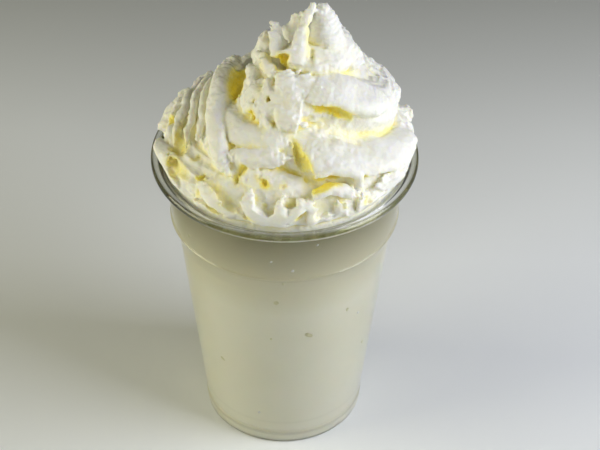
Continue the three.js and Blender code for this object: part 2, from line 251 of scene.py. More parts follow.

# Grooves cut into the mound: line of (angle, height), half width, half depth, height of the middle,
# tilt, how blunt the ends are, and how strongly it glows yellow with painted shade
GROOVES = [
    ([(-108, 158), (-93, 156), (-80, 154.5), (-68, 152)], 2.2, 3.6, -0.3, 14, 3, 1.0),
    ([(-64, 167), (-57, 164.8), (-48, 161), (-43, 159.5)], 1.6, 1.8, 3.8, 0, 3, 0.35),
    ([(2, 158.8), (12, 157.2), (23, 155), (34, 152)], 2.3, 4.0, 0.2, -30, 3, 1.0),
    ([(2, 154), (20, 151.5), (39, 149.5)], 2.4, 1.8, 0.9, 0, 3, 0.16),
    ([(-11, 150.5), (-7, 148), (-3, 145.3), (2, 142.1), (7, 138.7), (8.7, 136)], 1.0, 4.2, 0.6, 20, 2, 0.7),
    ([(-3, 146), (2, 142.5), (6.5, 138.7)], 1.7, 4.2, 0.8, 20, 2, 0.8),
    ([(7, 136.4), (12, 138.4), (17, 139), (23, 137.8)], 1.4, 4.8, 0.6, -20, 3, 1.0),
    ([(19, 140), (25, 139.8)], 0.8, 2.0, 0.0, 0, 4, 0.7),
    ([(32, 139), (33.5, 135)], 1.5, 3.5, 0.0, 0, 3, 0.9),
    ([(37, 139), (47, 136)], 3.0, 2.4, 0.6, 0, 3, 0.3),
    ([(-44, 133.8), (-34, 132), (-27, 129.5), (-22, 127.5)], 2.3, 1.9, 2.0, 0, 2, 0.45),
    ([(-66, 132), (-58, 130.5), (-50, 130)], 2.8, 3.2, 2.8, 0, 2, 0.5),
    ([(-32, 137.5), (-28, 141)], 0.8, 2.5, 0.3, 0, 3, 0.8),
    ([(-19, 138.3), (-13, 136.7)], 0.9, 3.0, 0.0, 0, 3, 1.0),
    ([(6, 129.8), (4.5, 126.2)], 1.0, 2.5, 1.0, 0, 3, 0.8),
    ([(-37, 126.5), (-30, 125.5)], 1.3, 2.5, 0.8, 0, 3, 0.5),
    ([(12, 133), (14, 129.5), (18, 126.5)], 3.6, 2.6, 1.2, 0, 3, 0.25),
    ([(-14, 132.5), (-10, 129.5)], 1.5, 2.2, 0.8, 0, 3, 0.1),
    ([(0, 134), (1, 130)], 2.4, 2.4, 1.0, 0, 3, 0.1),
    ([(-38, 173), (-37, 169.5), (-36, 166.5)], 1.6, 4.0, -0.5, 0, 3, 1.0),
    ([(-88, 173), (-72, 170.5), (-52, 169.5), (-40, 170.5)], 1.1, 3.0, 0.0, 0, 3, 0.6),
    ([(-36, 171), (-26, 172.5)], 0.8, 2.5, 0.0, 0, 3, 0.8),
    ([(-5, 183), (-3, 179), (0, 174.5), (3, 171.5)], 1.2, 3.0, 0.3, 0, 3, 0.5),
    ([(20, 176), (22, 170.5)], 3.4, 2.2, 1.0, 0, 3, 0.15),
    ([(-85, 140), (-72, 135), (-66, 130)], 1.6, 2.4, 0.6, 0, 3, 0.55),
    ([(-68, 131), (-58, 128)], 2.2, 2.2, 0.8, 0, 3, 0.6),
    ([(-76, 137), (-64, 134)], 2.2, 2.2, 0.8, 0, 3, 0.6),
]

# Small holes torn in the cream: angle, height, radius
HOLES = [
    (-45.2, 156.4, 1.3), (-44, 152.8, 1.8), (-35, 158.7, 1.0), (-21, 154.8, 1.1), (-25, 152.3, 1.0),
    (-6.3, 137, 1.2), (-31.5, 136.5, 2.0), (-18, 125.5, 1.2), (-47, 132.5, 1.5), (-44, 127.3, 1.3),
    (-58, 136, 1.6), (-90, 133.5, 1.6), (9.5, 152.5, 1.0), (26, 150, 1.1), (37, 149.5, 1.1),
    (37, 128.5, 1.3), (24, 130, 0.8),
]

# A hole's half length in degrees, its depth as a share of its radius, its height, tilt and ends as for a
# groove, and its glow, a painted yellow shade
HOLE_REACH = 1.5
HOLE_DEPTH = 2.4
HOLE_FORM = (1.6, 0, 8)
HOLE_GLOW = 1.0

# Folds that stand up at the top: line of (x, y, z, half width, half thickness), the way the flat side
# faces, and how blunt the ends are
TOP_FOLDS = [
    (
        [
            (-1.2, -10.5, 171, 3.6, 1.2),
            (-2.2, -8, 174, 4.2, 1.2),
            (-3.3, -4.5, 177, 3.2, 1.0),
            (-4.3, -1, 180, 0.9, 0.7),
        ],
        (0.45, -0.75, 0.45), 14,
    ),
    (
        [
            (2.5, -4, 172, 4.4, 1.2),
            (3, -3, 176, 4.4, 1.2),
            (4.2, -2, 180, 3.6, 1.0),
            (6.8, -1, 184, 1.4, 0.7),
        ],
        (-0.45, -0.85, 0.1), 10,
    ),
    (
        [
            (4, -13, 169, 3.2, 3.2),
            (4.5, -11, 174, 3.0, 2.8),
            (5.2, -8.5, 178, 2.6, 2.4),
            (7, -5, 182, 2.2, 2.0),
            (8.8, -1.5, 185, 1.4, 1.4),
            (9.2, -0.5, 187, 0.5, 0.5),
        ],
        (0, -1, 0), 14,
    ),
    (
        [
            (13.5, -2.5, 164, 9, 8.5),
            (13.8, -2, 172, 7.5, 7),
            (13.2, -1, 178, 5.4, 5),
            (12.8, 0, 182.5, 3.4, 3.2),
            (13.6, 0, 185.6, 1.1, 1.1),
        ],
        (0, -1, 0), 14,
    ),
    ([(-8, 3, 160, 5, 5), (-6, 2, 167, 4, 4), (-4.5, 1, 173, 2.2, 2.2)], (0, -1, 0), 8),
    ([(24, -1, 160, 6, 7), (22, 0, 166, 4, 5), (19, 1, 171, 1.6, 2)], (0, -1, 0), 8),
]

# Places where the cream is smooth: angle, height, how far round in degrees and how far up and down
SMOOTH_SPOTS = [
    (45, 161, 45, 9), (42, 142, 50, 7), (-45, 148, 26, 3.5), (-75, 148, 42, 5), (60, 150, 30, 8),
    (50, 176, 75, 9), (-33, 128, 12, 4), (-95, 147, 45, 9), (0, 128, 22, 5), (-68, 130, 24, 9),
    (62, 127, 28, 6),
]

# How softly each form runs into the rest
BLENDS = {"core": 2.0, "run": 0.8, "fold": 0.9, "top": 0.7, "groove": 0.7, "hole": 0.5}

# Noise that bends every form of the cream: how far, wavelength, seed
WARPS = [(0.7, 9.0, 10), (0.3, 3.7, 20), (0.12, 1.7, 40)]

# Relief of the surface: the depth of the layer it is in, and how much of it a smooth spot takes away
RELIEF_LAYER = 2.5
SMOOTHING = 0.9

# Its puffs and small puffs: wavelength, height of a crest, depth of a crease, share
PUFFS = [(4.2, 0.5, 1.1, 0.7), (1.9, 0.3, 0.8, 0.5)]
PUFF_SEED = 31

# Its crumbs: wavelength, height everywhere, and what torn cream adds to that
CRUMB_LENGTH = 1.15
CRUMB_HEIGHT = 0.08
TORN_CRUMB_HEIGHT = 0.2
CRUMB_SEED = 33

# How far the cream may reach from the axis above the rim: height, radius
OVERHANG = [
    (CUP_HEIGHT + 1.0, 45.0), (CUP_HEIGHT + 2.5, 46.6), (CUP_HEIGHT + 5, 47.8), (CUP_HEIGHT + 11, 48.9),
    (140, 48.9), (190, 30),
]

# How far its edge over the rim draws back from there, unevenly, and the wavelength of that
EDGE_WANDER = 1.8
EDGE_LENGTH = 5.0
EDGE_SEED = 51

# Grid that the cream is formed on, and the distance given to cells far from it
CELL = 0.5
GRID_LOW = np.array([-50.0, -50.0, 113.0])
GRID_HIGH = np.array([51.0, 50.0, 190.0])
FAR = 6.0

# Cells of the noise's table along each axis, and the gain that brings it to about -1 to 1
NOISE_CELLS = 32
NOISE_GAIN = 1.4

# Yellow glow of a groove, a painted shade for light filtered through the cream: how deep in it the glow
# is full, how far out from there it fades, its blur in cells, and its strength
GLOW_DEPTH = 0.2
GLOW_REACH = 1.15
GLOW_BLUR = 2
GLOW_STRENGTH = 1.15

# Hollows, by the share of cream in two cubes round a point: the cubes' reach in cells, the share where a
# hollow begins, how much more makes it a full one, and how yellow its painted shade is
HOLLOW_REACHES = (4, 9)
HOLLOW_START = 0.50
HOLLOW_SPAN = 0.35
HOLLOW_STRENGTH = 0.6


# Meshes and materials

def placed(name, mesh, material):
    """A smooth-shaded object of a mesh, in the scene."""
    mesh.shade_smooth()
    mesh.materials.append(material)
    piece = bpy.data.objects.new(name, mesh)
    bpy.context.scene.collection.objects.link(piece)
    return piece


def mesh_object(name, points, faces, material):
    """An object from points in millimetres and faces that all have the same number of corners."""
    faces = np.asarray(faces, np.int32)
    mesh = bpy.data.meshes.new(name)
    mesh.vertices.add(len(points))
    mesh.vertices.foreach_set("co", (np.asarray(points, np.float32) * MM).ravel())
    mesh.loops.add(faces.size)
    mesh.loops.foreach_set("vertex_index", faces.ravel())
    mesh.polygons.add(len(faces))
    mesh.polygons.foreach_set("loop_start", np.arange(0, faces.size, faces.shape[1], dtype=np.int32))
    mesh.update(calc_edges=True)
    return placed(name, mesh, material)


def turned(name, profile, material):
    """A closed profile of (radius, height), turned about +Z. Its first and last points lie on the axis."""
    rings = np.array(profile[1:-1], float)
    turn = np.linspace(0, 2 * math.pi, ROUND_STEPS, endpoint=False)
    x = rings[:, :1] * np.sin(turn)
    y = -rings[:, :1] * np.cos(turn)
    z = np.repeat(rings[:, 1:], ROUND_STEPS, axis=1)
    points = np.stack([x, y, z], -1).reshape(-1, 3)
    bottom = len(points)
    points = np.vstack([points, [0, 0, profile[0][1]], [0, 0, profile[-1][1]]])
    near = np.arange(ROUND_STEPS)
    following = (near + 1) % ROUND_STEPS
    faces = []
    for ring in range(len(rings) - 1):
        low = ring * ROUND_STEPS
        high = low + ROUND_STEPS
        quads = np.stack([low + near, low + following, high + following, high + near], -1)
        faces.extend(quads.tolist())
    last = (len(rings) - 1) * ROUND_STEPS
    for k in range(ROUND_STEPS):
        faces.append([bottom, following[k], near[k]])
        faces.append([bottom + 1, last + near[k], last + following[k]])
    mesh = bpy.data.meshes.new(name)
    mesh.from_pydata((points * MM).tolist(), [], [[int(n) for n in face] for face in faces])
    mesh.update()
    return placed(name, mesh, material)


def new_material(name, colour, roughness):
    """A Principled material, its node tree and its shader."""
    material = bpy.data.materials.new(name)
    material.use_nodes = True
    tree = material.node_tree
    shader = tree.nodes["Principled BSDF"]
    shader.inputs["Base Color"].default_value = (*colour, 1)
    shader.inputs["Roughness"].default_value = roughness
    return material, tree, shader


def object_place(tree):
    """Socket with the place in object space, in metres."""
    return tree.nodes.new("ShaderNodeTexCoord").outputs["Object"]


def add_noise(tree, scale, detail):
    """A noise texture in object space."""
    noise = tree.nodes.new("ShaderNodeTexNoise")
    noise.inputs["Scale"].default_value = scale
    noise.inputs["Detail"].default_value = detail
    tree.links.new(object_place(tree), noise.inputs["Vector"])
    return noise


def add_bump(tree, shader, height, strength, distance):
    """Fine relief of the surface from a height socket."""
    bump = tree.nodes.new("ShaderNodeBump")
    bump.inputs["Strength"].default_value = strength
    bump.inputs["Distance"].default_value = distance
    tree.links.new(height, bump.inputs["Height"])
    tree.links.new(bump.outputs["Normal"], shader.inputs["Normal"])


def add_ramp(tree, factor, stops):
    """A colour ramp on a socket, from stops of (share, colour)."""
    ramp = tree.nodes.new("ShaderNodeValToRGB")
    elements = ramp.color_ramp.elements
    (first, first_colour), *between, (last, last_colour) = stops
    elements[0].position = first
    elements[0].color = (*first_colour, 1)
    elements[1].position = last
    elements[1].color = (*last_colour, 1)
    for position, colour in between:
        elements.new(position).color = (*colour, 1)
    tree.links.new(factor, ramp.inputs["Fac"])
    return ramp


def add_axis_ramp(tree, axis, stops, span=None):
    """A colour ramp along an axis of object space, from stops of (millimetres, colour).

    It reaches from its first stop to its last, or else over the span given.
    """
    low, high = span or (stops[0][0], stops[-1][0])
    parts = tree.nodes.new("ShaderNodeSeparateXYZ")
    tree.links.new(object_place(tree), parts.inputs["Vector"])
    share = tree.nodes.new("ShaderNodeMapRange")
    share.inputs["From Min"].default_value = low * MM
    share.inputs["From Max"].default_value = high * MM
    tree.links.new(parts.outputs[axis], share.inputs["Value"])
    shares = [((place - low) / (high - low), colour) for place, colour in stops]
    return add_ramp(tree, share.outputs["Result"], shares)


def multiplied(tree, first, second, share=None):
    """The colours of two ramps multiplied, everywhere or by a share from a socket."""
    mix = tree.nodes.new("ShaderNodeMix")
    mix.data_type = "RGBA"
    mix.blend_type = "MULTIPLY"
    mix.inputs["Factor"].default_value = 1.0
    if share:
        tree.links.new(share, mix.inputs["Factor"])
    tree.links.new(first.outputs["Color"], mix.inputs["A"])
    tree.links.new(second.outputs["Color"], mix.inputs["B"])
    return mix.outputs["Result"]


def greys(stops):
    """Stops of (place, shade) as stops of (place, colour)."""
    return [(place, (shade, shade, shade)) for place, shade in stops]


def clear_plastic():
    """Clear plastic, tinted by height with painted shade in dark bands, and the rolled rim darkened towards
    its sides by painted shade.
    """
    material, tree, shader = new_material("clear_plastic", (0.98, 0.985, 0.98), 0.04)
    shader.inputs["IOR"].default_value = 1.5
    shader.inputs["Transmission Weight"].default_value = 1.0
    noise = add_noise(tree, 45, 2)
    add_bump(tree, shader, noise.outputs["Fac"], 0.05, 0.0004)
    upright = (0, CUP_HEIGHT)
    # The plastic's own near-clear colour, with painted shade in dark bands by height
    stops = [(height, (clear, clear, blue)) for height, clear, blue in CLEARNESS_AND_SHADE]
    colour_and_shade = add_axis_ramp(tree, "Z", stops, upright)
    # Painted shade on the rim, by its place along +X, within the rim's band of heights
    sides = add_axis_ramp(tree, "X", greys(RIM_SHADE))
    band = add_axis_ramp(tree, "Z", greys(RIM_BAND), upright)
    darkened = multiplied(tree, colour_and_shade, sides, band.outputs["Color"])
    tree.links.new(darkened, shader.inputs["Base Color"])
    return material


def shake():
    """The drink: faintly cloudy cream colour, with painted shade that darkens it behind the collar."""
    material, tree, shader = new_material("shake", (0.74, 0.73, 0.60), 0.35)
    noise = add_noise(tree, 30, 4)
    cloud = add_ramp(tree, noise.outputs["Fac"], [(0.3, (0.96, 0.945, 0.755)), (0.7, (0.985, 0.97, 0.80))])
    # Painted shade, darker towards the rim
    shade = add_axis_ramp(tree, "Z", COLLAR_SHADE)
    tree.links.new(multiplied(tree, cloud, shade), shader.inputs["Base Color"])
    shader.inputs["Subsurface Weight"].default_value = 0.3
    shader.inputs["Subsurface Radius"].default_value = (1.0, 0.8, 0.5)
    shader.inputs["Subsurface Scale"].default_value = 0.003
    return material


def whipped_cream():
    """Off-white cream that lets light in, with painted yellow shade in its hollows by the mesh's
    hollow_shade value.
    """
    material, tree, shader = new_material("whipped_cream", (0.93, 0.92, 0.86), 0.6)
    hollow_shade = tree.nodes.new("ShaderNodeAttribute")
    hollow_shade.attribute_name = "hollow_shade"
    # The first stop is the cream's own colour; the yellower ones are painted shade in its hollows
    colour_and_shade = add_ramp(tree, hollow_shade.outputs["Fac"], [
        (0.0, (0.88, 0.875, 0.79)),
        (0.2, (0.91, 0.885, 0.665)),
        (0.5, (0.965, 0.85, 0.26)),
        (1.0, (0.97, 0.75, 0.01)),
    ])
    tree.links.new(colour_and_shade.outputs["Color"], shader.inputs["Base Color"])
    shader.inputs["Specular IOR Level"].default_value = 0.35
    shader.inputs["Subsurface Weight"].default_value = 0.6
    shader.inputs["Subsurface Radius"].default_value = (1.0, 0.85, 0.4)
    shader.inputs["Subsurface Scale"].default_value = 0.0013
    grain = add_noise(tree, 800, 5)
    add_bump(tree, shader, grain.outputs["Fac"], 0.6, 0.0005)
    return material


def speck_look(kind):
    """Mottled colour between the kind's darker and lighter one."""
    dark, light = SPECK_COLOURS[kind]
    material, tree, shader = new_material("speck_" + kind, dark, 0.5)
    noise = add_noise(tree, 700, 2)
    ramp = add_ramp(tree, noise.outputs["Fac"], [(0.35, dark), (0.65, light)])
    tree.links.new(ramp.outputs["Color"], shader.inputs["Base Color"])
    return material


def pale_floor():
    """A pale floor with painted shade that darkens it behind the cup."""
    material, tree, shader = new_material("pale_floor", (0.62, 0.62, 0.58), 0.5)
    noise = add_noise(tree, 6, 2)
    tone = add_ramp(tree, noise.outputs["Fac"], [(0.3, (0.85, 0.87, 0.86)), (0.7, (0.87, 0.89, 0.88))])
    # Painted shade, darker behind the cup
    shade = add_axis_ramp(tree, "Y", FLOOR_SHADE)
    tree.links.new(multiplied(tree, tone, shade), shader.inputs["Base Color"])
    return material


# Camera, light and floor

# Place in millimetres, angles in degrees, lens and width of the sensor
CAMERA_PLACE = (5.856, -576.307, 572.148)
CAMERA_PITCH = 40.149
CAMERA_ROLL = 0.642
LENS = 120.0
SENSOR = 36.0

# Lights: place, height aimed at and size in metres, power in watts, colour
LIGHTS = {
    "key": ((0.55, -0.18, 0.43), 0.1, 0.45, 4.25, (0.955, 0.975, 1.07)),
    "side": ((-0.80, -0.12, 0.36), 0.1, 0.55, 4.8, (1.0, 0.97, 0.76)),
    "front": ((0.0, -0.75, 0.42), 0.1, 0.55, 0.95, (1.0, 0.98, 0.88)),
}
WORLD_STRENGTH = 0.05
WORLD_COLOUR = (1.0, 0.98, 0.85, 1)

# Painted shade that darkens the floor behind the cup, for light falling off there: distance along +Y, shade
FLOOR_SHADE = [(80.0, (1, 1, 1)), (168.0, (0.88, 0.88, 0.87)), (300.0, (0.56, 0.56, 0.53))]
FLOOR_HALF = 1500.0


def make_camera():
    """The photograph's view: looks along +Y and down by the pitch, with a slight roll."""
    pitch = math.radians(CAMERA_PITCH)
    roll = math.radians(CAMERA_ROLL)
    forward = Vector((0, math.cos(pitch), -math.sin(pitch)))
    level_up = Vector((0, math.sin(pitch), math.cos(pitch)))
    level_right = Vector((1, 0, 0))
    right = math.cos(roll) * level_right + math.sin(roll) * level_up
    up = math.cos(roll) * level_up - math.sin(roll) * level_right
    data = bpy.data.cameras.new("camera")
    data.lens = LENS
    data.sensor_width = SENSOR
    data.clip_start = 0.01
    camera = bpy.data.objects.new("camera", data)
    turn = Matrix((right, up, -forward)).transposed()
    camera.matrix_world = Matrix.Translation(Vector(CAMERA_PLACE) * MM) @ turn.to_4x4()
    bpy.context.scene.collection.objects.link(camera)
    bpy.context.scene.camera = camera


def area_light(name, place, aim, size, power, colour):
    """A square soft light aimed at the object."""
    data = bpy.data.lights.new(name, "AREA")
    data.size = size
    data.energy = power
    data.color = colour
    light = bpy.data.objects.new(name, data)
    light.location = place
    light.rotation_euler = (Vector((0, 0, aim)) - Vector(place)).to_track_quat("-Z", "Y").to_euler()
    light.visible_camera = False
    bpy.context.scene.collection.objects.link(light)


def make_lights():
    """The soft lights, a faint glow from all round, and plain colours in the picture."""
    for name, setting in LIGHTS.items():
        area_light(name, *setting)
    world = bpy.data.worlds.new("world")
    world.use_nodes = True
    background = world.node_tree.nodes["Background"]
    background.inputs["Color"].default_value = WORLD_COLOUR
    background.inputs["Strength"].default_value = WORLD_STRENGTH
    bpy.context.scene.world = world
    bpy.context.scene.view_settings.view_transform = "Standard"


def make_floor():
    signs = [(-1, -1), (1, -1), (1, 1), (-1, 1)]
    corners = [(FLOOR_HALF * x, FLOOR_HALF * y, 0) for x, y in signs]
    floor = mesh_object("floor", corners, [[0, 1, 2, 3]], pale_floor())


# Cup and drink

def wall_radius(height):
    heights, radii = zip(*WALL_LINE)
    return float(np.interp(height, heights, radii))


def rib(height):
    """How far the raised line stands out from the wall at a height."""
    middle, out, half = RIB
    return out * math.exp(-((height - middle) / half) ** 2)


def wall_heights(low, high):
    """Heights of the wall's rings: close together at its features and far apart between them."""
    heights = {low, high, *np.arange(low, high, RING_GAP).tolist()}
    for first, last in FINE_SPANS:
        heights.update(np.arange(first, last, FINE_GAP).tolist())
    return sorted(height for height in heights if low <= height <= high)


def smooth_wall(inset, low, high):
    """The wall's line from low to high, with its corners softened, as (radius, height)."""
    heights = wall_heights(low, high)
    offsets = np.linspace(-2 * CORNER_SOFTNESS, 2 * CORNER_SOFTNESS, 9)
    weights = np.exp(-0.5 * (offsets / CORNER_SOFTNESS) ** 2)
    lines = [[wall_radius(h + o) for o in offsets] for h in heights]
    radii = np.array(lines) @ weights / weights.sum()
    return [(radius + rib(height) - inset, height) for radius, height in zip(radii, heights)]


def arc(centre, radius, first, last, steps):
    """Points of a profile on an arc, between two angles in degrees."""
    angles = np.radians(np.linspace(first, last, steps))
    return [(centre[0] + radius * math.cos(a), centre[1] + radius * math.sin(a)) for a in angles]


def make_cup():
    """The profile goes out along the base, up the outside, round the rolled rim and back down inside."""
    lip_height, lip_radius = WALL_LINE[-1]
    bead_centre = (RIM_RADIUS - BEAD_RADIUS, CUP_HEIGHT - BEAD_RADIUS)
    outside = smooth_wall(0, WALL_START, lip_height)
    inside = smooth_wall(WALL, INSIDE_START, lip_height)[::-1]
    profile = [
        (0, PANEL_RISE + PANEL_CROWN),
        (PANEL_RADIUS, PANEL_RISE),
        (PANEL_RADIUS + 1.0, PANEL_RISE - 0.4),
        (RING_INNER, 0.15),
        (RING_INNER + 0.4, 0),
        (RING_OUTER, 0),
        *arc((RING_OUTER, FOOT_ROUND), FOOT_ROUND, -90, -10, 7)[1:],
        *outside,
        (lip_radius + 0.12, lip_height + 0.5),
        (lip_radius + 0.45, lip_height + 0.9),
        *arc(bead_centre, BEAD_RADIUS, -150, 110, 26),
        (lip_radius + 1.4, CUP_HEIGHT - 0.25),
        (lip_radius + 0.6, CUP_HEIGHT - 0.8),
        (lip_radius - WALL + 0.5, lip_height + 1.8),
        (lip_radius - WALL + 0.12, lip_height + 0.8),
        *inside,
        (RING_OUTER + 0.4, WALL + 0.6),
        (RING_OUTER - 0.3, WALL),
        (RING_INNER + 0.4, WALL),
        (PANEL_RADIUS + 0.3, PANEL_RISE + WALL),
        (0, PANEL_RISE + WALL + PANEL_CROWN),
    ]
    cup = turned("cup_clear", profile, clear_plastic())
    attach(cup, BODY)
    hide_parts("cup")


def make_drink():
    """The drink fills the cup up to just above the bottom of the cream."""
    side = smooth_wall(CONTACT, INSIDE_START, DRINK_TOP)
    top = DRINK_TOP + 0.3
    profile = [
        (0, PANEL_RISE + CONTACT + PANEL_CROWN),
        (PANEL_RADIUS + 0.2, PANEL_RISE + CONTACT),
        (RING_INNER + 0.4, CONTACT),
        (RING_OUTER - 0.2, CONTACT),
        (RING_OUTER + 0.7, 1.2),
        *side,
        (side[-1][0], top),
        (0, top),
    ]
    drink = turned("milkshake_drink", profile, shake())
    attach(drink, BODY)
    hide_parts("milkshake")


def against_wall(angle, height, stand_out):
    """A point at a distance out from the surface of the drink."""
    turn = math.radians(angle)
    radius = wall_radius(height) - CONTACT + stand_out
    return [radius * math.sin(turn), -radius * math.cos(turn), height]


def flat_speck(angle, height, size, rng):
    """Points and faces of a flat bit with an uneven outline, sunk in the drink up to its face."""
    swing = rng.uniform(0, math.pi)
    squash = rng.uniform(0.5, 0.9)
    turn_per_mm = math.degrees(1 / wall_radius(height))
    points = [against_wall(angle, height, SPECK_CROWN)]
    for k in range(SPECK_CORNERS):
        around = 2 * math.pi * k / SPECK_CORNERS
        reach = size * rng.uniform(0.8, 1.15)
        along = reach * math.cos(around)
        across = reach * squash * math.sin(around)
        flat = along * math.cos(swing) - across * math.sin(swing)
        tall = along * math.sin(swing) + across * math.cos(swing)
        points.append(against_wall(angle + flat * turn_per_mm, height + tall, SPECK_EDGE))
    points.append(against_wall(angle, height, SPECK_ROOT))
    faces = []
    for k in range(1, SPECK_CORNERS + 1):
        following = k % SPECK_CORNERS + 1
        faces.append([0, k, following])
        faces.append([SPECK_CORNERS + 1, following, k])
    return points, faces


def make_specks():
    """Small flat bits of fruit and foam in the drink, just at its surface."""
    rng = np.random.default_rng(SPECK_SEED)
    spots = {"fruit": list(FRUIT_SPECKS), "foam": list(FOAM_SPECKS)}
    for k in range(BACK_SPECKS):
        kind = "foam" if k % 3 == 0 else "fruit"
        spots[kind].append([rng.uniform(*span) for span in BACK_SPECK_SPANS])
    for kind, places in spots.items():
        points = []
        faces = []
        for place in places:
            speck_points, speck_faces = flat_speck(*place, rng)
            faces.extend([[n + len(points) for n in face] for face in speck_faces])
            points.extend(speck_points)
        specks = mesh_object("specks_" + kind, points, faces, speck_look(kind))
        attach(specks, BODY)


# Cream: a distance field on a grid, made into a mesh

def lattice_noise(points, wavelength, seed):
    """Smooth noise between about -1 and 1 at points in millimetres."""
    table = np.random.default_rng(seed).uniform(-1, 1, [NOISE_CELLS] * 3).astype(np.float32)
    scaled = np.asarray(points, np.float32) / np.float32(wavelength)
    base = np.floor(scaled)
    part = scaled - base
    part = part * part * (3 - 2 * part)
    near = base.astype(np.int32) % NOISE_CELLS
    far = (near + 1) % NOISE_CELLS
    total = 0
    for i, j, k in itertools.product((0, 1), repeat=3):
        weight = 1
        corner = []
        for axis, upper in enumerate((i, j, k)):
            weight = weight * (part[..., axis] if upper else 1 - part[..., axis])
            corner.append(far[..., axis] if upper else near[..., axis])
        total = total + weight * table[tuple(corner)]
    return total * NOISE_GAIN


def mound_radius(height):
    heights, radii, _ = zip(*MOUND)
    return np.interp(height, heights, radii)


def mound_lean(height):
    heights, _, leans = zip(*MOUND)
    return np.interp(height, heights, leans)


def on_mound(angle, height, lift):
    """Points at a distance from the mound's surface, and the surface's outward direction there."""
    turn = np.radians(angle)
    gap = 2
    slope = (mound_radius(height + gap) - mound_radius(height - gap)) / (2 * gap)
    outs = np.stack([np.sin(turn), -np.cos(turn), -slope], -1)
    outs /= np.linalg.norm(outs, axis=-1, keepdims=True)
    radius = mound_radius(height)
    surface = np.stack([mound_lean(height) + radius * np.sin(turn), -radius * np.cos(turn), height], -1)
    return surface + lift[:, None] * outs, outs


def smooth_min(a, b, blend):
    """The lesser of two distances, with a rounded join between them."""
    part = np.clip(0.5 + 0.5 * (b - a) / blend, 0, 1)
    return b + (a - b) * part - blend * part * (1 - part)


def eased(knots):
    """Knots made into a dense smooth line."""
    knots = np.array(knots, float)
    fine = np.linspace(0, len(knots) - 1, EASE_STEPS * len(knots))
    curve = [np.interp(fine, range(len(knots)), column) for column in knots.T]
    kernel = np.hanning(2 * EASE_REACH + 3)[1:-1]
    kernel /= kernel.sum()
    padded = [np.pad(column, EASE_REACH, mode="reflect", reflect_type="odd") for column in curve]
    return np.array([np.convolve(column, kernel, "valid") for column in padded]).T


class Path:
    """Stations PATH_STEP apart along a line of points, each with its outward direction and sizes."""

    def __init__(self, points, outs, sizes):
        gaps = np.linalg.norm(np.diff(points, axis=0), axis=1)
        travelled = np.concatenate([[0], np.cumsum(gaps)])
        count = max(int(travelled[-1] / PATH_STEP), 2) + 1
        self.travel = np.linspace(0, travelled[-1], count)
        self.step = self.travel[1]
        self.points = self.spread(travelled, points)
        self.sizes = self.spread(travelled, sizes)
        self.alongs = self.unit(np.gradient(self.points, axis=0))
        self.rights = self.unit(np.cross(self.alongs, self.spread(travelled, outs)))
        self.outs = np.cross(self.rights, self.alongs)

    def spread(self, travelled, values):
        return np.array([np.interp(self.travel, travelled, column) for column in values.T]).T

    def unit(self, vectors):
        return vectors / np.linalg.norm(vectors, axis=1, keepdims=True)


def mound_path(knots, lift):
    """A path at a distance from the mound, from knots of angle, height and sizes."""
    line = eased(knots)
    lifts = lift(line) if callable(lift) else np.full(len(line), float(lift))
    points, outs = on_mound(line[:, 0], line[:, 1], lifts)
    return Path(points, outs, line[:, 2:])


class Field:
    """A signed distance on a grid, negative inside the cream."""

    def __init__(self):
        counts = np.ceil((GRID_HIGH - GRID_LOW) / CELL).astype(int)
        axes = [GRID_LOW[k] + CELL * np.arange(counts[k]) for k in range(3)]
        self.places = np.stack(np.meshgrid(*axes, indexing="ij"), -1).astype(np.float32)
        self.value = np.full(counts, FAR, np.float32)
        # Glow of the grooves: painted yellow shade, for light filtered through the cream
        self.glow = np.zeros(counts, np.float32)
        self.warped = self.places.copy()
        for far, wavelength, seed in WARPS:
            for axis in range(3):
                self.warped[..., axis] += far * lattice_noise(self.places, wavelength, seed + axis)

    def block(self, low, high):
        """The cells of a box between two corners."""
        first = np.maximum(np.floor((np.asarray(low) - GRID_LOW) / CELL).astype(int), 0)
        last = np.minimum(np.ceil((np.asarray(high) - GRID_LOW) / CELL).astype(int) + 1, self.value.shape)
        return tuple(slice(a, max(a, b)) for a, b in zip(first, last))

    def add(self, block, distance, blend):
        self.value[block] = smooth_min(self.value[block], distance, blend)

    def cut(self, block, distance, blend, glow):
        """Cuts a hollow, and marks the cells in and near it with its glow, a painted yellow shade."""
        self.value[block] = -smooth_min(-self.value[block], distance, blend)
        near = glow * np.clip(1 - (distance + GLOW_DEPTH) / GLOW_REACH, 0, 1)
        self.glow[block] = np.maximum(self.glow[block], near)

    def sweep(self, path, section):
        """Block of cells round a path, and their distance from the section carried along it."""
        reach = float(path.sizes[:, :2].max()) + SWEEP_MARGIN
        block = self.block(path.points.min(0) - reach, path.points.max(0) + reach)
        places = self.warped[block]
        nearest = np.full(places.shape[:3], reach ** 2, np.float32)
        which = np.full(places.shape[:3], -1, np.int32)
        corner = [s.start for s in block]
        for k, point in enumerate(path.points):
            local = self.block(point - reach, point + reach)
            inner = tuple(slice(s.start - c, s.stop - c) for s, c in zip(local, corner))
            away = places[inner] - point.astype(np.float32)
            square = np.einsum("...k,...k->...", away, away)
            closer = square < nearest[inner]
            nearest[inner][closer] = square[closer]
            which[inner][closer] = k
        close = which >= 0
        station = which[close]
        away = places[close] - path.points[station]
        out = np.einsum("nk,nk->n", away, path.outs[station])
        right = np.einsum("nk,nk->n", away, path.rights[station])
        along = np.einsum("nk,nk->n", away, path.alongs[station])
        covered = path.step * 0.6
        beyond = np.maximum(np.abs(along) - covered, 0)
        distance = np.full(places.shape[:3], FAR, np.float32)
        distance[close] = section(path, station, out, right, along, beyond)
        return block, distance


def rope_section(path, station, out, right, along, beyond):
    """A round rope with a ridge for each point of the nozzle's star."""
    radius, depth = path.sizes[station].T
    wander = WANDER * np.sin((path.travel[station] + along) / WANDER_LENGTH)
    around = np.arctan2(right, out) + wander
    crease = np.abs(np.sin(0.5 * RIDGE_COUNT * around)) ** RIDGE_BLUNTNESS
    return np.hypot(np.hypot(out, right), beyond) - radius * (1 - depth * crease)


